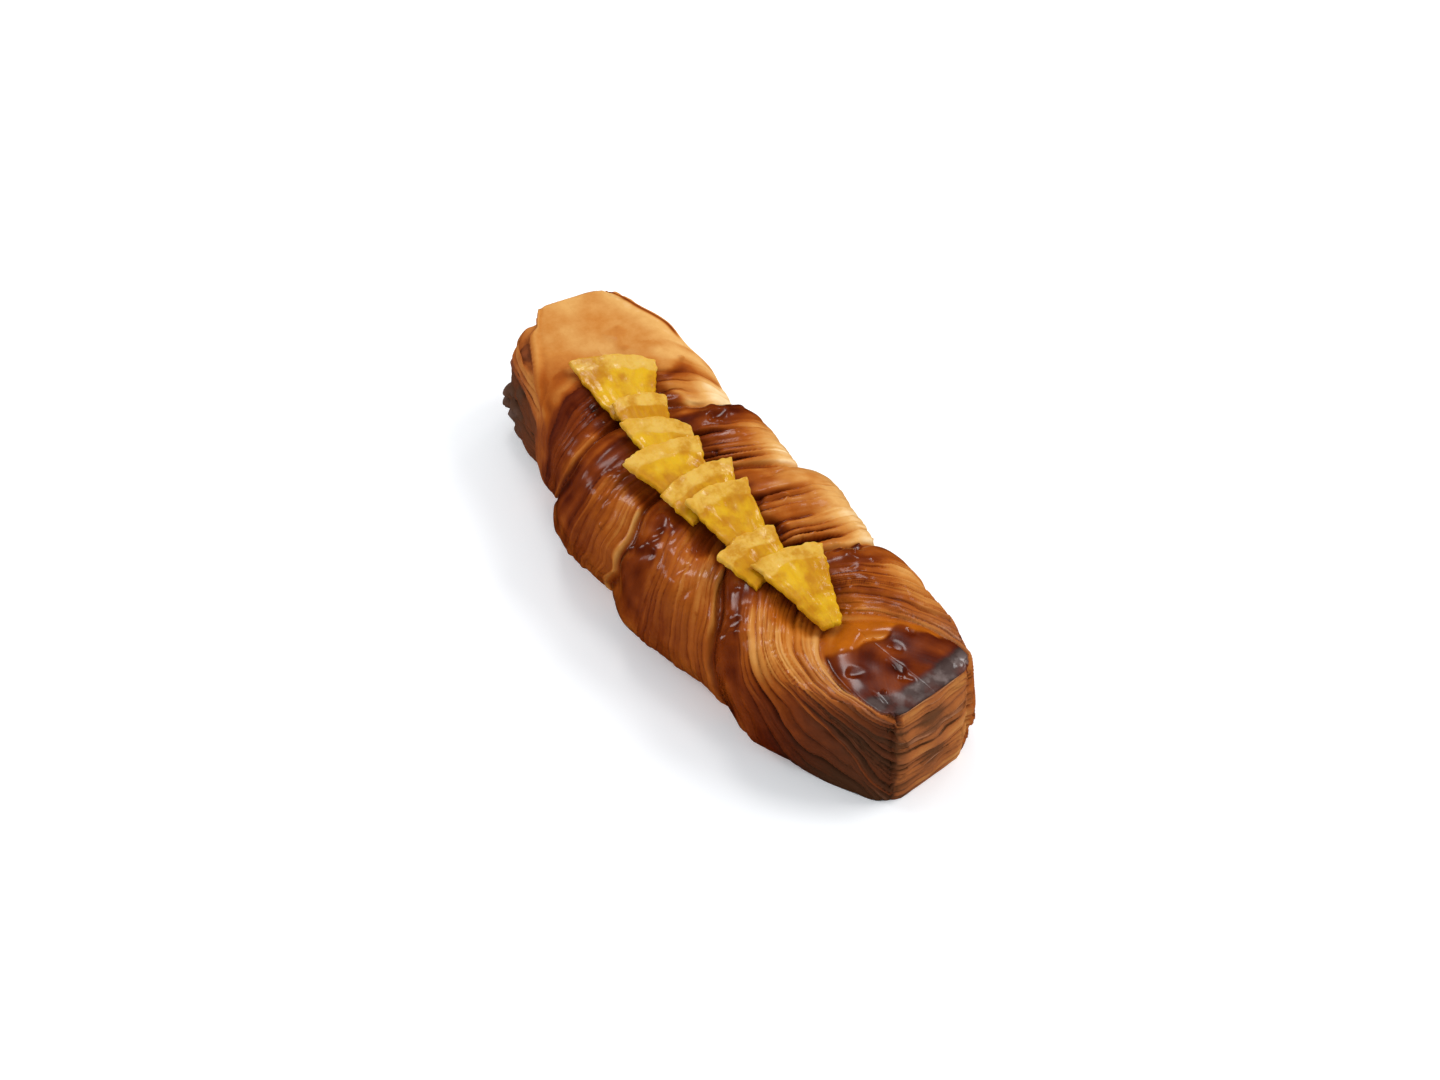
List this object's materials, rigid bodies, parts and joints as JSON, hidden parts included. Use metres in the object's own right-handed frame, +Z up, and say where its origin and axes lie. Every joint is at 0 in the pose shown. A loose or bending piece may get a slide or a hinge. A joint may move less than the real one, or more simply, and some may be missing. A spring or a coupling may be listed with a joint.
{
  "type": "orange danish pastry",
  "caption": "Long twisted danish of laminated dough with squared ends, its middle groove covered by overlapping wedges of candied orange, resting flat.",
  "frame": {"origin": "middle of the bounding box in plan, on the flat underside the pastry rests on", "axes": "+X along the pastry to the dark glazed end block, +Y across it, +Z up"},
  "size_m": [0.176, 0.065, 0.0419],
  "materials": {
    "baked_crust": "egg-washed and glazed golden-brown laminated crust, darker on the smooth faces",
    "candied_orange": "moist translucent orange flesh with a paler rind band"
  },
  "bodies": {
    "root": {"pastry": "baked_crust", "orange_wedge_1": "candied_orange", "orange_wedge_2": "candied_orange", "orange_wedge_3": "candied_orange", "orange_wedge_4": "candied_orange", "orange_wedge_5": "candied_orange", "orange_wedge_6": "candied_orange", "orange_wedge_7": "candied_orange", "orange_wedge_8": "candied_orange"}
  },
  "joints": []
}
